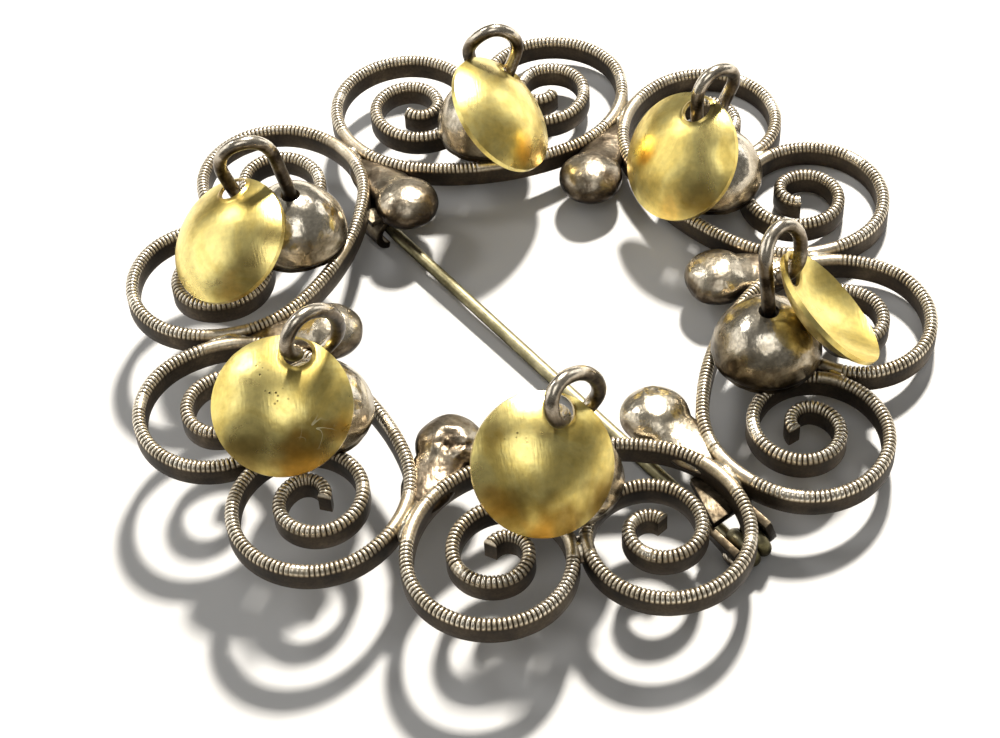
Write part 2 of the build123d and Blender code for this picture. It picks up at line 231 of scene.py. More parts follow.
def smoothSilver(name, dark, mid, light, patch, rough, pits, dentSize):
    # Cast, drawn or pressed silver toned in clouds, lighter on faces turned up and darker on faces
    # turned down (wear and painted shade), with soft dents, fine pits from solder and short hairs. Sizes
    # are in mm.
    material, tree = newMaterial(name)
    place = addNode(tree, "ShaderNodeTexCoord")
    # rubbed carries wear and painted shade: lighter on upward faces, darker on downward ones
    rubbed = addNode(tree, "ShaderNodeAttribute", attribute_name="rubbed")
    pitted = addNode(tree, "ShaderNodeAttribute", attribute_name="pitted")
    cloud = noiseNode(tree, place, patch, 6.0, Roughness=0.62, Distortion=0.5)
    grit = noiseNode(tree, place, 0.18, 4.0)
    hairs = hairNode(tree, place, (1.0, 0.16, 0.5), 0.12)
    share = spreadNode(tree, (cloud, "Fac"), 0.3, 0.7, -0.32, 0.32)
    lifted = mathNode(tree, "ADD", (rubbed, "Fac"), (share, "Result"))
    sunk = mathNode(tree, "SUBTRACT", (lifted, "Value"), (pitted, "Fac"), clamp=True)
    tone = rampNode(tree, (sunk, "Value"), [(0.05, dark), (0.45, mid), (0.9, light)])
    speck = spreadNode(tree, (grit, "Fac"), 0.32, 0.68, 0.78, 1.12)
    colour = tintNode(tree, (tone, "Color"), (speck, "Result"))
    gloss = spreadNode(tree, (sunk, "Value"), 0.0, 1.0, rough + 0.14, rough)
    relief = mathNode(tree, "ADD", (grit, "Fac"), (hairs, "Fac"))
    bump = bumpNode(tree, (relief, "Value"), pits, 0.02)
    dents = noiseNode(tree, place, dentSize, 2.0)
    hammered = bumpNode(tree, (dents, "Fac"), 0.5, 0.16, under=bump)
    finishShader(tree, {
        "Base Color": (colour, "Result"), "Roughness": (gloss, "Result"), "Metallic": 1.0,
    }, hammered)
    return material


def giltSheet():
    # Fire-gilt sheet: lemon yellow, brown where it is stained and where shade is painted in, amber where it
    # glows, with small dark pits, fine hairs and crooked pale scratches under a soft polish.
    material, tree = newMaterial("fire-gilt sheet")
    place = addNode(tree, "ShaderNodeTexCoord")
    glow = addNode(tree, "ShaderNodeAttribute", attribute_name="glow")
    stain = addNode(tree, "ShaderNodeAttribute", attribute_name="stain")
    pitted = addNode(tree, "ShaderNodeAttribute", attribute_name="pitted")
    scuffed = addNode(tree, "ShaderNodeAttribute", attribute_name="scuffed")
    cloud = noiseNode(tree, place, 3.2, 5.0, Roughness=0.6, Distortion=0.8)
    fine = noiseNode(tree, place, 0.35, 5.0)
    hairs = hairNode(tree, place, (1.0, 0.14, 0.3), 0.11)
    tone = rampNode(tree, (cloud, "Fac"), [
        (0.26, "#c4a955"), (0.42, "#e8d078"), (0.55, "#fbe894"), (0.68, "#f3de8e"), (0.82, "#d2bb6c"),
    ])
    # brown where the sheet is stained, and painted shade on the lower parts of the fourth and fifth discs
    # and round the hole
    olive = blendNode(tree, (stain, "Fac"), (tone, "Color"), linear("#7a5a1c"))
    amber = blendNode(tree, (glow, "Fac"), (olive, "Result"), linear("#e8a63a"))
    grains = addNode(tree, "ShaderNodeTexVoronoi", {"Vector": (place, "Object"), "Scale": perMm(0.32)})
    spots = spreadNode(tree, (grains, "Distance"), 0.10, 0.26, 1.0, 0.0)
    holes = mathNode(tree, "MULTIPLY", (spots, "Result"), (pitted, "Fac"), clamp=True)
    bitten = blendNode(tree, (holes, "Value"), (amber, "Result"), linear("#3a2c10"))
    speck = spreadNode(tree, (fine, "Fac"), 0.3, 0.7, 0.86, 1.08)
    scrawl = noiseNode(tree, place, 0.9, 0.0, Distortion=1.2)
    onLine = addNode(tree, "ShaderNodeMath", {0: (scrawl, "Fac"), 1: 0.5, 2: 0.022}, operation="COMPARE")
    scratch = mathNode(tree, "MULTIPLY", (onLine, "Value"), (scuffed, "Fac"), clamp=True)
    bared = blendNode(tree, (scratch, "Value"), (bitten, "Result"), linear("#fff4c6"))
    colour = tintNode(tree, (bared, "Result"), (speck, "Result"))
    rough = spreadNode(tree, (cloud, "Fac"), 0.3, 0.7, 0.36, 0.25)
    relief = mathNode(tree, "ADD", (fine, "Fac"), (hairs, "Fac"))
    raised = mathNode(tree, "ADD", (relief, "Value"), (scratch, "Value"))
    cut = mathNode(tree, "SUBTRACT", (raised, "Value"), (holes, "Value"))
    bump = bumpNode(tree, (cut, "Value"), 0.22, 0.03)
    finishShader(tree, {
        "Base Color": (colour, "Result"), "Roughness": (rough, "Result"), "Metallic": 1.0,
    }, bump)
    return material


def smoothStep(value, low, high):
    share = min(max((value - low) / (high - low), 0), 1)
    return share * share * (3 - 2 * share)


def faceOutwards(mesh):
    # one closed shell; its signed volume tells whether it is inside out
    bmesh.ops.recalc_face_normals(mesh, faces=mesh.faces)
    if mesh.calc_volume(signed=True) < 0:
        bmesh.ops.reverse_faces(mesh, faces=mesh.faces)
    return mesh


# How far a point is brightened, by its normal's upward share: none below low, all above high.
# This is wear and painted shade at once: faces turned up are lighter, faces turned down darker.
topLitWear = dict(low=-0.45, high=0.95, wander=0.3, wanderPerMm=0.7)


def finishPiece(name, mesh, material, replaced, body="brooch", sharpDeg=40, wear=0.0):
    # mesh is a bmesh in level mm; wear makes the whole piece brighter or darker
    mesh.normal_update()
    # rubbed holds wear and painted shade together: lighter where the surface faces up, darker where it
    # faces down
    rubbed = mesh.verts.layers.float.new("rubbed")
    for point in mesh.verts:
        wander = topLitWear["wander"] * noise.noise(point.co * topLitWear["wanderPerMm"])
        point[rubbed] = smoothStep(point.normal.z + wander, topLitWear["low"], topLitWear["high"]) + wear
    mesh.transform(layDown)
    data = bpy.data.meshes.new(name)
    mesh.to_mesh(data)
    mesh.free()
    data.shade_smooth()
    data.set_sharp_from_angle(angle=radians(sharpDeg))
    data.materials.append(material)
    piece = bpy.data.objects.new(name, data)
    bpy.context.scene.collection.objects.link(piece)
    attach(piece, body)
    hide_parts(replaced)
    return piece


def joinInto(target, source, place=unturned):
    # adds source, put in its place, to target
    data = bpy.data.meshes.new("part")
    source.transform(place)
    if place.determinant() < 0:
        bmesh.ops.reverse_faces(source, faces=source.faces)
    source.to_mesh(data)
    source.free()
    target.from_mesh(data)
    bpy.data.meshes.remove(data)


def spinProfile(profile, steps, closed=False, axis=(0, 0, 1)):
    # turns (distance from the axis, place along it) into a round body
    mesh = bmesh.new()
    if axis[2]:
        points = [mesh.verts.new((out, 0, along)) for out, along in profile]
    else:
        points = [mesh.verts.new((0, along, out)) for out, along in profile]
    pairs = list(zip(points, points[1:])) + ([(points[-1], points[0])] if closed else [])
    edges = [mesh.edges.new(pair) for pair in pairs]
    bmesh.ops.spin(
        mesh, geom=points + edges, cent=(0, 0, 0), axis=axis, angle=2 * pi, steps=steps, use_merge=True,
    )
    bmesh.ops.remove_doubles(mesh, verts=mesh.verts, dist=0.001)
    return faceOutwards(mesh)


# Scroll strips. curl gives the last arcs: share of the inner shoulder's radius, turn.
scroll = dict(
    baseRadius=11.0,
    reach=21.9,
    wall=0.70,
    seamGap=0.06,
    bowRadius=14.5,
    bowTurnDeg=19.0,
    curl=((0.81, 90), (0.67, 90), (0.51, 90), (0.43, 90), (0.26, 90), (0.24, 55)),
    ribPitch=0.25,
    ribStations=4,
    ribDepth=0.10,
    wallRibDepth=0.008,   # where they run on down the wall
    ribFade=0.8,         # how far below the top edge the ribs run out
    grooveSharp=2.6,     # narrows the grooves
    junctionSolder=1.9,  # reach of the solder that fills the ribs, from each joint
    seamSolder=0.8,
    domeSolder=1.2,
    foot=0.03,           # broken edge below
)


def scrollArcs():
    # radius and turn of each arc: bow, flank, shoulder, inner shoulder, then the curl
    side = (scroll["wall"] + scroll["seamGap"]) / 2
    bow, bowTurn = scroll["bowRadius"], scroll["bowTurnDeg"]
    rise = scroll["baseRadius"] + bow * (1 - cos(radians(bowTurn)))
    bowEnd = Vector((bow * sin(radians(bowTurn)), rise, 0))
    across = heading(-180 / ring["pairs"])
    flank = (-side - bowEnd.dot(across)) / (1 + leftOf(bowTurn).dot(across))
    widest = bowEnd + leftOf(bowTurn) * flank + Vector((flank, 0, 0))
    shoulder = scroll["reach"] - scroll["wall"] / 2 - widest.y
    inner = widest.x - shoulder - side
    arcs = [(bow, bowTurn), (flank, 90 - bowTurn), (shoulder, 90), (inner, 90)]
    return arcs + [(share * inner, turn) for share, turn in scroll["curl"]]


def wallProfile():
    # a few points round the strip's section: across, height above the foot
    half = scroll["wall"] / 2
    height = ring["top"] - ring["foot"]
    foot = scroll["foot"]
    angles = [radians(15 + 15 * n) for n in range(11)]
    bead = [(half * cos(a), height - half + half * sin(a)) for a in angles]
    side = [(half, foot), (half, height * 0.3), (half, height * 0.55), (half, height - half)]
    return side + bead + [(-x, z) for x, z in reversed(side)] + [(-half + foot, 0), (half - foot, 0)]


def scrollMesh():
    # one scroll, spun arc by arc, with each point's place on the strip kept in layers
    mesh = bmesh.new()
    across, height, along, turned, rib = (
        mesh.verts.layers.float.new(name) for name in ("across", "height", "along", "turned", "rib")
    )
    points = []
    for x, z in wallProfile():
        point = mesh.verts.new((0, scroll["baseRadius"] + x, ring["foot"] + z))
        point[across], point[height] = x, z
        points.append(point)
    edges = [mesh.edges.new((a, b)) for a, b in zip(points, points[1:] + points[:1])]
    mesh.faces.new(points)
    moving = points + edges
    place = Vector((0, scroll["baseRadius"], 0))
    deg = reached = ribCount = 0.0
    for radius, turn in scrollArcs():
        centre = place + leftOf(deg) * radius
        length = radius * radians(turn)
        steps = ceil(length / scroll["ribPitch"]) * scroll["ribStations"]
        for count in range(steps):
            spun = bmesh.ops.spin(
                mesh, geom=moving, cent=centre, axis=(0, 0, 1), angle=radians(turn) / steps, steps=1,
            )
            moving = spun["geom_last"]
            deg += turn / steps
            reached += length / steps
            ribCount += 1 / scroll["ribStations"]
            for point in (g for g in moving if isinstance(g, bmesh.types.BMVert)):
                point[along], point[turned], point[rib] = reached, deg, ribCount
        place = centre - leftOf(deg) * radius
    bmesh.ops.holes_fill(mesh, edges=[g for g in moving if isinstance(g, bmesh.types.BMEdge)], sides=0)
    return faceOutwards(mesh), reached


def soldered(distance, reach, solid):
    # 1 within the solid share of the solder's reach, 0 beyond it
    return 1 - smoothStep(distance, reach * solid, reach)


def ribScroll(mesh, number):
    # cuts the milled ribs, shallower where solder has filled them or wear has rubbed them
    across, height, along, turned, rib = (
        mesh.verts.layers.float[name] for name in ("across", "height", "along", "turned", "rib")
    )
    ridge = mesh.verts.layers.float.new("ridge")
    depth = mesh.verts.layers.float.new("depth")
    arcs = scrollArcs()
    reaches = [radius * radians(turn) for radius, turn in arcs]
    junction = reaches[0] + arcs[1][0] * radians(60 - arcs[0][1])
    seam = sum(reaches[:4])
    half = scroll["wall"] / 2
    tall = ring["top"] - ring["foot"]
    for point in mesh.verts:
        s = point[along]
        jitter = noise.noise((int(point[rib]) * 0.71, number * 7.3, 0))
        groove = (0.5 - 0.5 * cos(2 * pi * point[rib])) ** scroll["grooveSharp"]
        ragged = 0.5 * noise.noise((s * 0.9, number * 5.7, 9.0))
        filled = max(
            soldered(abs(s - junction) + ragged, scroll["junctionSolder"], 0.45),
            soldered(abs(s - seam) + ragged, scroll["seamSolder"], 0.5),
            soldered(s + ragged, scroll["domeSolder"], 0.6),
        )
        rubbed = smoothStep(noise.noise((s * 0.55, number * 3.1, 4.0)), 0.25, 0.5) * 0.7
        cut = (1 - max(filled, rubbed)) * (1 + 0.4 * jitter)
        x, z = point[across], point[height]
        out = Vector((x, max(z - tall + half, 0), 0))
        onBead = smoothStep(z, tall - half, tall - 0.5 * half)
        onWall = smoothStep(z, tall - scroll["ribFade"], tall - 0.6 * scroll["ribFade"])
        sunk = groove * cut * (onBead * scroll["ribDepth"] + (1 - onBead) * onWall * scroll["wallRibDepth"])
        if out.length:
            out.normalize()
            # the path's left is where across is positive
            point.co -= leftOf(point[turned]) * out.x * sunk + upward * (out.y * sunk)
        point[ridge] = 1 - groove * cut - 0.3 * filled
        # depth below the top edge; the material darkens the walls by it, partly sulphide and partly painted
        # shade
        point[depth] = tall - z


def strips():
    base, length = scrollMesh()
    mirrored = Matrix.Scale(-1, 4, (1, 0, 0))
    for index in range(ring["pairs"]):
        pair = bmesh.new()
        for hand in (0, 1):
            one = base.copy()
            ribScroll(one, 2 * index + hand)
            joinInto(pair, one, facing(pairDeg(index)) @ (mirrored if hand else unturned))
        finishPiece(
            f"scroll_pair_{index + 1}", pair, materials["ribbed"], "wreath", sharpDeg=60,
        )
    base.free()
    print("strips done, each", round(length, 1), "mm long")


# Domes, each on a collar of solder. lip is the step in and down that breaks the dome's edge.
dome = dict(
    radius=2.95, wall=0.35, out=13.8, hole=0.55, lip=(0.04, 0.07),
    collar=0.35, collarTop=0.12, collarInset=0.15, collarFoot=0.10,
    dent=0.06, worn=0.02, lump=0.03, steps=96, rows=18,
    wear=(-0.1, 0.05, -0.3, 0.0, 0.05, 0.1),
)


def domes():
    outer, inner = dome["radius"], dome["radius"] - dome["wall"]
    low = -dome["collar"] - dome["collarFoot"]
    crown = degrees(asin(dome["hole"] / outer))
    under = degrees(asin(dome["hole"] / inner))
    rows = dome["rows"]
    outside = [radians(crown + (90 - crown) * n / rows) for n in range(rows + 1)]
    inside = [radians(under + (90 - under) * n / rows) for n in range(rows, -1, -1)]
    inset = outer - dome["collarInset"]
    lipIn, lipDown = dome["lip"]
    foot = [(outer - lipIn, -lipDown), (inset, -dome["collarTop"]), (inset, low), (inner, low)]
    profile = [(outer * sin(a), outer * cos(a)) for a in outside] + foot
    profile += [(inner * sin(a), inner * cos(a)) for a in inside]
    for index in range(ring["pairs"]):
        shell = spinProfile(profile, dome["steps"], closed=True)
        for point in shell.verts:  # soft dents of the pressing, and an uneven fillet of solder
            dent = noise.noise(point.co * 0.6 + Vector((index * 9.0, 0, 0)))
            pressed = (dome["dent"] * dent + dome["worn"]) * smoothStep(point.co.z, 0, 0.8)
            point.co -= point.co.normalized() * pressed
            lump = noise.noise(point.co * 1.4 + Vector((0, index * 9.0, 0)))
            swollen = dome["lump"] * lump * smoothStep(-point.co.z, 0.05, 0.3)
            point.co += Vector((point.co.x, point.co.y, 0)) * swollen
        shell.transform(facing(pairDeg(index), (0, dome["out"], ring["top"] + dome["collar"])))
        wear = dome["wear"][index]
        finishPiece(f"dome_{index + 1}", shell, materials["dome"], "wreath", wear=wear)
    print("domes done")


# Solder grains, each a slumped ball that runs out into the solder of the junction
grain = dict(
    radius=1.85, halfHeight=1.2, out=10.85, drop=0.85, steps=96,
    # solder behind the ball: distance from its middle, half width
    neck=((2.1, 1.14), (2.7, 1.10), (3.4, 1.02), (4.1, 0.82), (4.6, 0.58), (5.0, 0.0)),
    neckFrom=0.9, neckFull=2.6, neckFlat=0.56, neckWide=1.32, lump=0.07,
    wear=(-0.35, -0.15, 0.1, -0.42, -0.2, -0.35),
    # sunken spots: heading from the ring's middle, height angle, half width in deg, depth
    craters={2: ((150, 62, 13, 0.16),), 3: ((25, 70, 27, 0.26), (75, 48, 12, 0.12))},
)


def grains():
    r = grain["radius"]
    ball = [(r * sin(radians(a)), -r * cos(radians(a))) for a in range(0, 136, 5)]
    profile = ball + [(half, out) for out, half in grain["neck"]]
    for index in range(ring["pairs"]):
        body = spinProfile(profile, grain["steps"], axis=(0, 1, 0))
        pitted = body.verts.layers.float.new("pitted")
        for point in body.verts:
            spread = smoothStep(point.co.y, grain["neckFrom"], grain["neckFull"])
            way = point.co.normalized()
            lump = noise.noise(point.co * 0.9 + Vector((index * 5.0, 3.0, 0)))
            point.co += way * grain["lump"] * lump
            for turn, rise, wide, deep in grain["craters"].get(index, ()):
                toward = leftOf(turn) * cos(radians(rise)) + upward * sin(radians(rise))
                off = degrees(way.angle(toward)) + 7 * noise.noise(point.co * 3.5)
                hollow = 1 - smoothStep(off, wide * 0.35, wide)
                brim = smoothStep(off, wide * 0.7, wide) - smoothStep(off, wide, wide * 1.5)
                rough = 1 + 0.5 * noise.noise(point.co * 5.0)
                point.co -= way * deep * (hollow * rough - 0.25 * brim) * (1 - spread)
                point[pitted] = max(point[pitted], 0.5 * hollow)
            point[pitted] = max(point[pitted], 0.3 * spread)  # darker along the neck behind the ball
            flat = grain["halfHeight"] / r
            point.co.z *= flat + (grain["neckFlat"] - flat) * spread
            point.co.x *= 1 + (grain["neckWide"] - 1) * spread
        body.transform(facing(pairDeg(index) - 30, (0, grain["out"], ring["top"] - grain["drop"])))
        wear = grain["wear"][index]
        finishPiece(f"grain_{index + 1}", body, materials["grain"], "wreath", wear=wear)
    print("grains done")


# Gilt discs and the hooks that carry them. hole and hook are places, as shares of the
# disc's diameter, east, north and up from each dome's top, and entry is the wire's way
# through the hole. face is the heading of the rounded side, its tilt from level and the
# turn of the hole. glow, stain, pits and scuff are marks on the disc in mm, towards the
# hole and across it: place, radius, strength. The stain marks are partly real stains and
# partly painted shade, which darkens the lower parts of the fourth and fifth discs.
disc = dict(
    diameter=7.25, bulge=1.30, sheet=0.28, hole=0.75, holeMargin=0.87, steps=144, rings=40,
    burr=0.10, burrWide=0.16, burrBehind=0.3, dent=0.045, holeShade=0.55,
)
hanger = dict(
    radius=0.375, swell=0.05, sides=24,
    foot=0.8, depth=1.25, throat=0.5, rise=0.35,  # bent outwards inside the dome, then up through its hole
    entry=0.85, exit=0.8,                         # before and past the disc's hole
)
drops = [
    dict(
        hole=(0.200, -0.019, 0.159), face=(-12, 46, 77), entry=(0.44, 0.37, 0.82),
        hook=[(-0.132, 0.134, 0.233), (-0.087, -0.028, 0.487), (0.083, -0.016, 0.606),
              (0.231, 0.001, 0.537), (0.297, 0.026, 0.383)],
        glow=[(-2.5, -1.2, 0.9, 0.6), (-2.2, -2.6, 0.9, 0.35)], stain=[(1.9, 1.6, 0.8, 0.4)],
    ),
    dict(
        hole=(-0.131, -0.041, 0.324), face=(-145, 48, -6), entry=(-0.05, -0.08, 1.0),
        hook=[(0.110, 0.171, 0.237), (0.203, 0.182, 0.414), (0.135, 0.119, 0.593),
              (-0.025, 0.025, 0.630), (-0.115, -0.030, 0.535)],
        glow=[(-0.8, 1.45, 0.7, 0.7), (-2.9, -1.2, 0.8, 0.3)],
        stain=[(-1.7, -2.8, 1.6, 0.6), (2.4, 0.8, 0.9, 0.35)],
    ),
    dict(
        hole=(0.172, 0.214, 0.138), face=(-171, 133, -60), entry=(0.44, -0.5, 0.75),
        hook=[(-0.045, -0.027, 0.416), (-0.041, 0.099, 0.581), (0.092, 0.242, 0.638),
              (0.224, 0.280, 0.528), (0.253, 0.246, 0.375)],
        glow=[], stain=[(0.0, 0.0, 1.4, 0.15)],
    ),
    dict(
        hole=(-0.028, -0.014, 0.345), face=(-71, 45, 32), entry=(0.65, -0.62, 0.43),
        hook=[(0.167, 0.177, 0.136), (0.288, 0.164, 0.319), (0.162, -0.001, 0.753),
              (-0.116, -0.231, 0.847), (-0.089, -0.353, 0.492)],
        glow=[(-2.4, 2.2, 1.1, 0.4), (-3.3, -0.6, 0.8, 0.4)],
        # the strong stains on the lower part of this disc are painted shade as well as stain
        stain=[(-0.9, -3.4, 1.5, 0.8), (-2.9, -1.5, 2.0, 0.85), (-2.9, 1.2, 1.6, 0.75),
               (0.8, 3.0, 0.9, 0.5)],
        pits=[(0.9, 1.9, 0.8, 0.8)],
    ),
    dict(
        hole=(-0.083, -0.007, 0.241), face=(-88, 35, 22), entry=(0.46, -0.64, 0.62),
        hook=[(0.045, 0.139, 0.084), (0.234, 0.192, 0.181), (0.209, 0.049, 0.641),
              (-0.055, -0.166, 0.786), (-0.176, -0.286, 0.471)],
        glow=[(-2.65, -1.8, 1.5, 0.35), (-0.4, -3.2, 0.8, 0.35)],
        # the strong stains on the lower part of this disc are painted shade as well as stain
        stain=[(-2.4, -2.2, 2.3, 0.85), (-0.9, -1.9, 1.0, 0.5), (-3.0, 1.0, 1.6, 0.75)],
        pits=[(1.2, 1.55, 0.7, 1.0), (0.3, 0.4, 0.8, 1.0)], scuff=[(-0.87, -2.2, 0.75, 1.0)],
    ),
    dict(
        hole=(-0.407, -0.124, 0.207), face=(-147, 35, -34), entry=(-0.40, 0.13, 0.91),
        hook=[(-0.044, -0.059, 0.304), (-0.070, -0.068, 0.538), (-0.202, -0.118, 0.680),
              (-0.398, -0.161, 0.655), (-0.495, -0.139, 0.471)],
        glow=[(-2.9, -1.3, 0.9, 0.35)],
        stain=[(-1.8, -2.4, 1.2, 0.5), (0.3, -3.1, 0.7, 0.4), (0.4, 0.0, 1.2, 0.2)],
    ),
]


def domeTop(index):
    return heading(pairDeg(index)) * dome["out"] + upward * (ring["top"] + dome["collar"] + dome["radius"])


def holePlace(index):
    return domeTop(index) + Vector(drops[index]["hole"]) * disc["diameter"]


def discPlace(index):
    # matrix of a disc drawn with its rounded side up and its hole along +X
    toward, tilted, clock = drops[index]["face"]
    normal = heading(toward) * sin(radians(tilted)) + upward * cos(radians(tilted))
    level = leftOf(toward)
    toHole = normal.cross(level) * cos(radians(clock)) + level * sin(radians(clock))
    sphere = ((disc["diameter"] / 2) ** 2 + disc["bulge"] ** 2) / (2 * disc["bulge"])
    out = disc["diameter"] / 2 - disc["holeMargin"]
    lift = sqrt(sphere ** 2 - out ** 2) - (sphere - disc["bulge"])
    middle = holePlace(index) - toHole * out - normal * lift
    return Matrix.Translation(middle) @ frameOf(toHole, normal.cross(toHole), normal), sphere, out


def markAt(x, y, marks, seed):
    # strength of the nearest mark, its edge a little ragged
    ragged = 1 + 0.5 * noise.noise((x * 1.3, y * 1.3, seed))
    return max([strength * (1 - smoothStep(hypot(x - u, y - v) * ragged, size * 0.3, size * 1.2))
                for u, v, size, strength in marks] + [0.0])


def discs():
    marks = dict(glow="glow", stain="stain", pits="pitted", scuff="scuffed")
    for index, drop in enumerate(drops):
        place, sphere, out = discPlace(index)
        sheet = bmesh.new()
        rim = bmesh.ops.create_circle(sheet, segments=disc["steps"], radius=disc["diameter"] / 2)["verts"]
        edge = bmesh.ops.create_circle(sheet, segments=disc["steps"], radius=disc["hole"])["verts"]
        bmesh.ops.translate(sheet, verts=edge, vec=(out, 0, 0))
        bmesh.ops.bridge_loops(sheet, edges=sheet.edges[:])
        spokes = [e for e in sheet.edges if (e.verts[0] in rim) != (e.verts[1] in rim)]
        bmesh.ops.subdivide_edges(sheet, edges=spokes, cuts=disc["rings"], use_grid_fill=True)
        bmesh.ops.recalc_face_normals(sheet, faces=sheet.faces)
        if sheet.faces[0].normal.z < 0:
            bmesh.ops.reverse_faces(sheet, faces=sheet.faces)
        layers = {key: sheet.verts.layers.float.new(name) for key, name in marks.items()}
        # pushed up where the rounded side shows
        burr = disc["burr"] * (1 if drop["face"][1] < 90 else disc["burrBehind"])
        for point in sheet.verts:
            x, y, _ = point.co
            fromHole = hypot(x - out, y) - disc["hole"]
            inRim = smoothStep(disc["diameter"] / 2 - hypot(x, y), 0, 1.0)
            dent = noise.noise((x * 0.35 + index * 4.0, y * 0.35, 1.0)) * inRim
            point.co.z = sqrt(sphere ** 2 - x * x - y * y) - (sphere - disc["bulge"]) + disc["dent"] * dent
            point.co.z += burr * max(0, 1 - fromHole / disc["burrWide"])
            for key, layer in layers.items():
                point[layer] = markAt(x, y, drop.get(key, ()), index * 3.0)
            # painted shade: the sheet is darkened round the hole, carried in the stain layer
            nearHole = 1 - smoothStep(fromHole, 0.02, 0.35)
            point[layers["stain"]] = max(point[layers["stain"]], disc["holeShade"] * nearHole)
        bmesh.ops.solidify(sheet, geom=sheet.faces[:], thickness=disc["sheet"])
        faceOutwards(sheet)
        sheet.transform(place)
        finishPiece(
            f"gilt_sheet_{index + 1}", sheet, materials["gilt"], f"gilt_disc_{index + 1}",
            sharpDeg=50,
        )
    print("discs done")


def wireMesh(points, radii, sides, smooth=True):
    # a round wire along points, as a mesh made from a curve
    curve = bpy.data.curves.new("wire", "CURVE")
    curve.dimensions = "3D"
    curve.bevel_depth = 1.0
    curve.bevel_resolution = sides // 4
    curve.resolution_u = 16
    curve.use_fill_caps = True
    spline = curve.splines.new("NURBS" if smooth else "POLY")
    spline.points.add(len(points) - 1)
    for at, place, radius in zip(spline.points, points, radii):
        at.co = (*place, 1)
        at.radius = radius
    if smooth:
        spline.order_u = 4
        spline.use_endpoint_u = True
    holder = bpy.data.objects.new("wire", curve)
    bpy.context.scene.collection.objects.link(holder)
    bpy.context.view_layer.update()
    data = bpy.data.meshes.new_from_object(holder.evaluated_get(bpy.context.evaluated_depsgraph_get()))
    mesh = bmesh.new()
    mesh.from_mesh(data)
    bmesh.ops.remove_doubles(mesh, verts=mesh.verts, dist=0.0005)
    bpy.data.objects.remove(holder)
    bpy.data.curves.remove(curve)
    bpy.data.meshes.remove(data)
    return faceOutwards(mesh)


def hangers():
    for index, drop in enumerate(drops):
        top = domeTop(index)
        wayIn = Vector(drop["entry"]).normalized()
        foot = top - upward * hanger["depth"]
        route = [foot + heading(pairDeg(index)) * hanger["foot"], foot]
        route += [top - upward * hanger["throat"], top + upward * hanger["rise"]]
        route += [top + Vector(corner) * disc["diameter"] for corner in drop["hook"]]
        route += [holePlace(index) + wayIn * hanger["entry"], holePlace(index) - wayIn * hanger["exit"]]
        swells = [noise.noise((n * 1.7, index * 2.3, 0)) for n in range(len(route))]
        radii = [hanger["radius"] * (1 + hanger["swell"] * swell) for swell in swells]
        wire = wireMesh(route, radii, hanger["sides"])
        finishPiece(f"hook_{index + 1}", wire, materials["wire"], f"hanger_wire_{index + 1}")
    print("hangers done")


# Rivet through the coil and the ears. crown gives the heads' shape: radius, share of the height.
rivet = dict(
    half=1.29, shaft=0.30, head=0.52, headHeight=0.22, crown=((0, 1), (0.3, 0.9), (0.46, 0.5)), steps=32,
)


def hingeFrame():
    # rivet's axis along Z, the stem's way along -X, Y downwards
    tilt = radians(pin["tiltDeg"])
    zAxis = pinLeft * cos(tilt) + upward * sin(tilt)
    return Matrix.Translation(hingeLevel) @ frameOf(pinAlong, zAxis.cross(pinAlong), zAxis)


def pinPiece():
    place = hingeFrame()
    half = pin["coilPitch"] / 2
    count = int(pin["coilTurns"] * pin["coilStations"])
    coil = []
    for n in range(count + 1):
        turn = n / pin["coilStations"]
        angle = radians(90 - 360 * turn)
        shift = -half + 2 * half * smoothStep(turn, 0.6, 1.0)  # from one ring over to the next
        spot = Vector((pin["coilRadius"] * cos(angle), pin["coilRadius"] * sin(angle), shift))
        coil.append(place @ spot)
    catchAt = pinAlong * -fitting["catchOut"] + pinLeft * pin["offset"] + upward * pin["catchHeight"]
    way = (catchAt - coil[0]).normalized()
    length = (catchAt - coil[0]).length + pin["tipPast"]
    stem = [(length - back, radius) for back, radius in pin["taper"]] + [pin["rootTaper"]]
    points = [coil[0] + way * reach for reach, _ in stem] + coil
    radii = [radius for _, radius in stem] + [pin["wire"]] * len(coil)
    wire = wireMesh(points, radii, 28, smooth=False)
    finishPiece("pin_wire", wire, materials["pin"], "pin_stem", body="pin", wear=-0.2)
    half = rivet["half"]
    crown = [(out, half + share * rivet["headHeight"]) for out, share in rivet["crown"]]
    upper = crown + [(rivet["head"], half), (rivet["shaft"], half)]
    shank = spinProfile(upper + [(x, -z) for x, z in reversed(upper)], rivet["steps"])
    shank.transform(place)
    finishPiece("rivet", shank, materials["wire"], "hinge_rivet")
    print("pin done")


# Hinge bracket and catch, both soldered under the ring
fitting = dict(
    ear=0.45, earRadius=0.75, earBack=1.9, earGap=0.08, earRise=0.1, earDrop=0.6,
    tongue=0.45, tipHalf=0.30, tipOut=15.0,
    catchOut=12.1, catchLength=1.8, catchInner=0.62, catchWall=0.43, catchAside=0.15, lipDeg=258.0,
    plate=0.40, plateWidth=2.3, plateAside=0.1, bite=0.10, edge=0.06,
)


def slab(outline, thickness, place):
    # a flat outline in XY, thickened upwards, its edges broken
    mesh = bmesh.new()
    face = mesh.faces.new([mesh.verts.new((x, y, 0)) for x, y in outline])
    grown = bmesh.ops.extrude_face_region(mesh, geom=[face])["geom"]
    upper = [g for g in grown if isinstance(g, bmesh.types.BMVert)]
    bmesh.ops.translate(mesh, verts=upper, vec=(0, 0, thickness))
    faceOutwards(mesh)
    bmesh.ops.bevel(
        mesh, geom=mesh.edges[:], offset=fitting["edge"], segments=2, profile=0.5,
        affect="EDGES", material=-1,
    )
    mesh.transform(place)
    return mesh


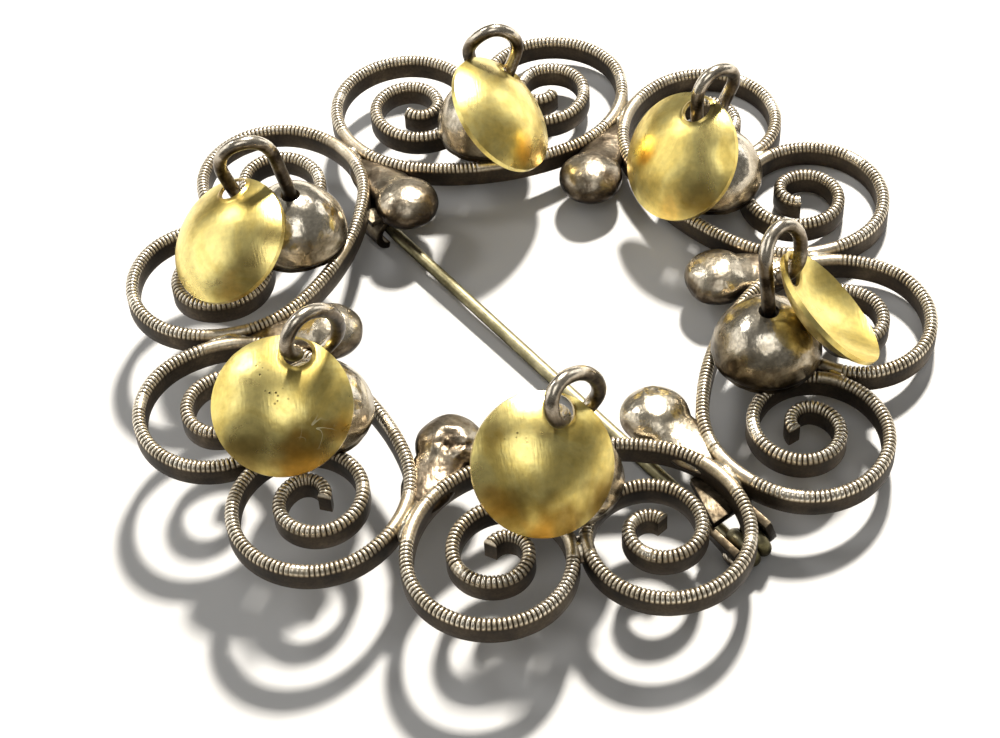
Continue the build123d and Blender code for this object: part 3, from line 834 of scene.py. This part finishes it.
def bracket():
    half = pin["coilPitch"] / 2 + pin["wire"] + fitting["earGap"] + fitting["ear"]
    top = ring["foot"] + fitting["bite"]
    back = pin["hingeOut"] - pin["coilRadius"] - pin["wire"] - fitting["earGap"]
    level = frameOf(pinAlong, pinLeft, upward)
    tipOut, tipHalf = fitting["tipOut"], fitting["tipHalf"]
    outline = [
        (tipOut, coilSide - tipHalf), (back, coilSide - half),
        (back, coilSide + half), (tipOut, coilSide + tipHalf),
    ]
    under = Matrix.Translation((0, 0, top - fitting["tongue"]))
    body = bmesh.new()
    joinInto(body, slab(outline, fitting["tongue"], level @ under))
    reach = ring["foot"] - pin["coilHeight"] + fitting["earRise"]
    r, earBack = fitting["earRadius"], fitting["earBack"]
    rounding = [(r * cos(radians(a)), r * sin(radians(a))) for a in range(0, 181, 20)]
    side = [(r, -reach)] + rounding + [(-earBack, fitting["earDrop"] - reach), (-earBack, -reach)]
    for low in (half - fitting["ear"], -half):
        joinInto(body, slab(side, fitting["ear"], hingeFrame() @ Matrix.Translation((0, 0, low))))
    finishPiece("hinge_bracket", body, materials["fitting"], "wreath", wear=-0.6)
    print("bracket done")


def catch():
    level = frameOf(pinAlong, pinLeft, upward)
    top = ring["foot"] + fitting["bite"]
    inner, outer = fitting["catchInner"], fitting["catchInner"] + fitting["catchWall"]
    side = pin["offset"] - fitting["catchAside"]
    long = fitting["catchLength"]
    body = bmesh.new()
    spotted = level @ Matrix.Translation((-fitting["catchOut"] - long / 2, side, outer))
    toFace = frameOf(Vector((0, 1, 0)), upward, Vector((1, 0, 0)))
    angles = [radians(90 + (fitting["lipDeg"] - 90) * n / 18) for n in range(19)]
    bend = [(outer * cos(a), outer * sin(a)) for a in angles]
    bend += [(inner * cos(a), inner * sin(a)) for a in reversed(angles)]
    joinInto(body, slab(bend, long, spotted @ toFace))
    half = fitting["plateWidth"] / 2
    corners = [(-long / 2, -half), (long / 2, -half), (long / 2, half), (-long / 2, half)]
    above = Matrix.Translation((-fitting["catchOut"], side - fitting["plateAside"], top - fitting["plate"]))
    joinInto(body, slab(corners, fitting["plate"], level @ above))
    low = 2 * outer - fitting["catchWall"]
    wall = fitting["catchWall"]
    corners = [(-long / 2, -wall), (long / 2, -wall), (long / 2, 0), (-long / 2, 0)]
    joinInto(body, slab(corners, top - low, level @ Matrix.Translation((-fitting["catchOut"], side, low))))
    finishPiece("catch", body, materials["fitting"], "wreath", wear=-0.2)
    print("catch done")


# Lumps of solder where two strips touch
solder = dict(wide=0.55, high=0.62, drop=0.72, seamLong=0.75, junctionLong=1.25, lump=0.14)


def solderSeams():
    # where the outer turns of a pair meet, and where two pairs meet
    place = Vector((0, scroll["baseRadius"], 0))
    deg = 0.0
    centres = []
    for radius, turn in scrollArcs()[:4]:
        centres.append(place + leftOf(deg) * radius)
        deg += turn
        place = centres[-1] - leftOf(deg) * radius
    touch = centres[1].dot(heading(60))
    for index in range(ring["pairs"]):
        seams = bmesh.new()
        for deg, out, long in (
            (pairDeg(index), centres[3].y, solder["seamLong"]),
            (pairDeg(index) - 30, touch, solder["junctionLong"]),
        ):
            lump = bmesh.new()
            bmesh.ops.create_icosphere(lump, subdivisions=4, radius=1.0)
            for point in lump.verts:
                point.co *= 1 + solder["lump"] * noise.noise(point.co * 1.5 + Vector((deg, out, 0)))
            bmesh.ops.scale(lump, vec=(solder["wide"], long, solder["high"]), verts=lump.verts)
            joinInto(seams, lump, facing(deg, (0, out, ring["top"] - solder["drop"])))
        finishPiece(f"solder_{index + 1}", seams, materials["grain"], "wreath")
    print("solder done")


materials = dict(
    ribbed=ribbedSilver(),
    dome=smoothSilver("toned pressed silver", "#40372a", "#978a72", "#e6dcc8", 2.2, 0.19, 0.25, 1.0),
    grain=smoothSilver("toned solder grain", "#332a20", "#7d705e", "#cfc4ae", 1.4, 0.25, 0.40, 0.8),
    wire=smoothSilver("drawn silver wire", "#2b231a", "#766a59", "#dcd1be", 1.2, 0.22, 0.20, 1.6),
    pin=smoothSilver("nickel silver wire", "#3b3621", "#7d7757", "#aea583", 2.4, 0.40, 0.12, 3.0),
    fitting=smoothSilver("toned silver fitting", "#231c14", "#554b3c", "#978c77", 1.2, 0.36, 0.35, 0.8),
    gilt=giltSheet(),
)

strips()
domes()
grains()
solderSeams()
discs()
hangers()
pinPiece()
bracket()
catch()

# Floor: matt paper, which the key light brings to white
floorMesh = bmesh.new()
bmesh.ops.create_grid(floorMesh, x_segments=1, y_segments=1, size=0.6)
floorData = bpy.data.meshes.new("floor")
floorMesh.to_mesh(floorData)
floorMesh.free()
floor = bpy.data.objects.new("floor", floorData)
bpy.context.scene.collection.objects.link(floor)
paper, paperTree = newMaterial("pale paper")
finishShader(paperTree, {"Base Color": linear("#c0bfbd"), "Roughness": 0.7})
floorData.materials.append(paper)

# Hard key light behind on the right, with cards that show in the gilding
lights = [
    dict(name="key", place=(0.08, 0.18, 0.27), size=0.03, power=2.8, colour="#fffaf2"),
    dict(name="window", place=(-0.16, 0.14, 0.24), size=0.07, power=0.15, colour="#ffffff"),
    dict(name="leftCard", place=(-0.30, 0.04, 0.15), size=0.30, power=0.36, colour="#ffffff"),
    dict(name="rightCard", place=(0.27, 0.17, 0.09), size=0.16, power=0.13, colour="#ffffff"),
    dict(name="fill", place=(0.03, -0.16, 0.28), size=0.16, power=0.14, colour="#ffffff"),
]
for light in lights:
    data = bpy.data.lights.new(light["name"], "AREA")
    data.size = light["size"]
    data.energy = light["power"]
    data.color = linear(light["colour"])[:3]
    lamp = bpy.data.objects.new(light["name"], data)
    lamp.location = light["place"]
    lamp.visible_camera = False
    lamp.rotation_euler = (-Vector(light["place"])).to_track_quat("-Z", "Y").to_euler()
    bpy.context.scene.collection.objects.link(lamp)

world = bpy.data.worlds.new("studio")
world.use_nodes = True
world.node_tree.nodes["Background"].inputs["Color"].default_value = linear("#f6f4ef")
world.node_tree.nodes["Background"].inputs["Strength"].default_value = 0.17
bpy.context.scene.world = world
bpy.context.scene.view_settings.view_transform = "Standard"  # the photo's hard whites

# The photo's camera, found in the ring's own level frame
camera = dict(
    lens=79.0, place=(-1.59, -84.60, 85.95), right=(0.9978, -0.0488, -0.0449), up=(0.0663, 0.7343, 0.6756),
)
right = Vector(camera["right"]).normalized()
up = Vector(camera["up"])
up = (up - right * up.dot(right)).normalized()
data = bpy.data.cameras.new("camera")
data.lens = camera["lens"]
data.clip_start = 0.005
cameraObject = bpy.data.objects.new("camera", data)
eye = layDown @ (Vector(camera["place"]) + upward * ring["top"])
cameraTurn = lean @ frameOf(right, up, right.cross(up))
cameraObject.matrix_world = Matrix.Translation(eye) @ cameraTurn
bpy.context.scene.collection.objects.link(cameraObject)
bpy.context.scene.camera = cameraObject
